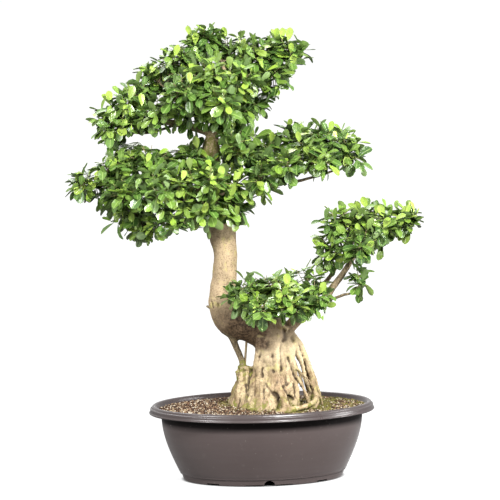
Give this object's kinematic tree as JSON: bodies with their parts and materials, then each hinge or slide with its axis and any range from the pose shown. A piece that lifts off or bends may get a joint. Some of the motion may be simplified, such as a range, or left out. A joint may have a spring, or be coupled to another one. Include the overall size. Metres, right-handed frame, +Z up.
{
  "type": "ficus bonsai",
  "caption": "Potted ficus bonsai with a bent trunk on exposed roots and leafy pads, in an oval training pot; stands on a flat surface.",
  "frame": {"origin": "middle of the pot's underside, on the surface the pot stands on", "axes": "+X along the pot's length, towards the low side branch; +Y away from the front; +Z up"},
  "size_m": [0.8109, 0.39, 1.0282],
  "materials": {
    "pot": "satin brown plastic, lightly polished rim",
    "soil": "loose mixed grains",
    "bark": "smooth tan bark with fissures and a little moss",
    "leaves": "waxy, glossy above and duller below"
  },
  "bodies": {
    "root": {"pot": "pot", "soil": "soil", "roots_trunk_branches": "bark", "crown_spray_01": "leaves", "crown_spray_02": "leaves", "crown_spray_03": "leaves", "crown_spray_04": "leaves", "crown_spray_05": "leaves", "crown_spray_06": "leaves", "crown_spray_07": "leaves", "crown_spray_08": "leaves", "crown_spray_09": "leaves", "crown_spray_10": "leaves", "crown_spray_11": "leaves", "crown_spray_12": "leaves", "crown_spray_13": "leaves", "crown_spray_14": "leaves", "crown_spray_15": "leaves", "crown_spray_16": "leaves", "crown_spray_17": "leaves", "crown_spray_18": "leaves", "crown_spray_19": "leaves", "left_spray_01": "leaves", "left_spray_02": "leaves", "left_spray_03": "leaves", "left_spray_04": "leaves", "left_spray_05": "leaves", "left_spray_06": "leaves", "left_spray_07": "leaves", "left_spray_08": "leaves", "left_spray_09": "leaves", "left_spray_10": "leaves", "left_spray_11": "leaves", "left_spray_12": "leaves", "left_spray_13": "leaves", "left_spray_14": "leaves", "right_spray_01": "leaves", "right_spray_02": "leaves", "right_spray_03": "leaves", "right_spray_04": "leaves", "right_spray_05": "leaves", "right_spray_06": "leaves", "right_spray_07": "leaves", "right_spray_08": "leaves", "right_spray_09": "leaves", "lower_spray_01": "leaves", "lower_spray_02": "leaves", "lower_spray_03": "leaves", "lower_spray_04": "leaves", "lower_spray_05": "leaves", "lower_spray_06": "leaves", "outer_spray_01": "leaves", "outer_spray_02": "leaves", "outer_spray_03": "leaves", "outer_spray_04": "leaves", "outer_spray_05": "leaves", "outer_spray_06": "leaves", "outer_spray_07": "leaves", "outer_spray_08": "leaves"}
  },
  "joints": []
}
